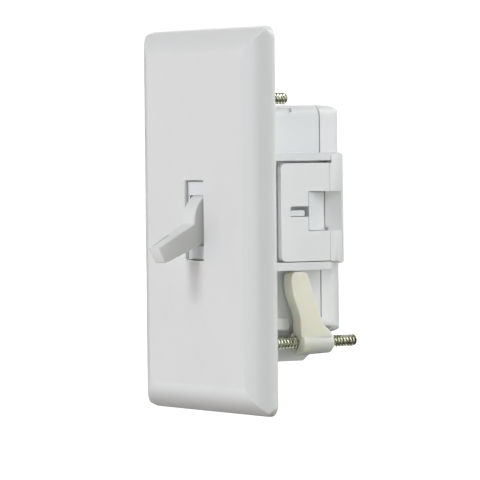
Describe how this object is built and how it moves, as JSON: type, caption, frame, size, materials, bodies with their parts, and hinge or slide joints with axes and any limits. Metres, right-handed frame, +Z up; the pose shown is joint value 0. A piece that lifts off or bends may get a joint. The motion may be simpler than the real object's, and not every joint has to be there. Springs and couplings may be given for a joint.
{
  "type": "toggle wall switch",
  "caption": "Self-contained toggle wall switch: screwless plate, housing that passes through a wall cut-out, clip-on rear wiring cover and swing clamps on long screws.",
  "frame": {"origin": "on the wall surface, behind the middle of the wall plate and of the toggle", "axes": "+Z up, +X right as seen from the room, +Y into the wall; the plate and toggle face -Y"},
  "size_m": [0.0698, 0.0588, 0.1142],
  "materials": {
    "plate_white": "glossy moulded white plastic",
    "toggle_white": "glossy moulded white plastic",
    "housing_white": "satin moulded white plastic, slightly cool",
    "cover_white": "satin moulded white plastic",
    "carrier_grey": "dark grey heat-resistant moulding",
    "terminal_brass": "stamped brass, lightly tumbled",
    "contact_silver": "silver-alloy contact face",
    "screw_zinc": "zinc plate with a yellowish passivation",
    "spring_steel": "plain spring steel",
    "clamp_nylon": "ivory, slightly translucent nylon",
    "bumper_rubber": "soft black rubber"
  },
  "bodies": {
    "housing": {"wall_plate": "plate_white", "front_housing": "housing_white", "rear_cover": "cover_white", "contact_base": "carrier_grey", "line_terminal": "terminal_brass", "load_terminal": "terminal_brass", "fixed_contact": "contact_silver", "ground_terminal": "terminal_brass", "bumper_on": "bumper_rubber", "bumper_off": "bumper_rubber"},
    "toggle": {"toggle_lever": "toggle_white", "toggle_spring": "spring_steel"},
    "plunger": {"spring_plunger": "clamp_nylon"},
    "rocker": {"contact_rocker": "terminal_brass", "moving_contact": "contact_silver"},
    "lower_screw": {"clamp_screw_lower": "screw_zinc", "screw_retainer_lower": "spring_steel"},
    "lower_nut": {"clamp_nut_lower": "terminal_brass"},
    "lower_clamp": {"swing_clamp_lower": "clamp_nylon"},
    "upper_screw": {"clamp_screw_upper": "screw_zinc", "screw_retainer_upper": "spring_steel"},
    "upper_nut": {"clamp_nut_upper": "terminal_brass"},
    "upper_clamp": {"swing_clamp_upper": "clamp_nylon"}
  },
  "joints": [
    {"name": "toggle_tilt", "type": "hinge", "parent": "housing", "child": "toggle", "pos_m": [0, 0.0004, 0], "axis": [-1, 0, 0], "range_deg": [0, 53]},
    {"name": "plunger_press", "type": "slide", "parent": "toggle", "child": "plunger", "axis": [0, -0.8949, -0.4462], "range_m": [0, 0.001], "stiffness_N_per_m": 600, "springref_m": -0.001, "deforming": ["toggle_spring"]},
    {"name": "rocker_tilt", "type": "hinge", "parent": "housing", "child": "rocker", "pos_m": [0, 0.0172, 0], "axis": [-1, 0, 0], "range_deg": [-14.2, 0]},
    {"name": "lower_screw_spin", "type": "hinge", "parent": "housing", "child": "lower_screw", "pos_m": [0.0185, 0, -0.0365], "axis": [0, 1, 0], "range_deg": [0, 3241]},
    {"name": "lower_nut_draw", "type": "slide", "parent": "housing", "child": "lower_nut", "axis": [0, -1, 0], "range_m": [0, 0.00954]},
    {"name": "lower_clamp_swing", "type": "hinge", "parent": "lower_nut", "child": "lower_clamp", "pos_m": [0.0185, 0.0225, -0.0365], "axis": [0, 1, 0], "range_deg": [0, 90]},
    {"name": "upper_screw_spin", "type": "hinge", "parent": "housing", "child": "upper_screw", "pos_m": [-0.0185, 0, 0.0365], "axis": [0, 1, 0], "range_deg": [0, 3241]},
    {"name": "upper_nut_draw", "type": "slide", "parent": "housing", "child": "upper_nut", "axis": [0, -1, 0], "range_m": [0, 0.00954]},
    {"name": "upper_clamp_swing", "type": "hinge", "parent": "upper_nut", "child": "upper_clamp", "pos_m": [-0.0185, 0.0225, 0.0365], "axis": [0, 1, 0], "range_deg": [0, 90]}
  ],
  "couplings": [
    {"joint": "rocker_tilt", "follows": "toggle_tilt", "ratio": -0.26415},
    {"joint": "lower_screw_spin", "follows": "lower_nut_draw", "rad_per_m": 5927.5},
    {"joint": "upper_screw_spin", "follows": "upper_nut_draw", "rad_per_m": 5927.5}
  ]
}
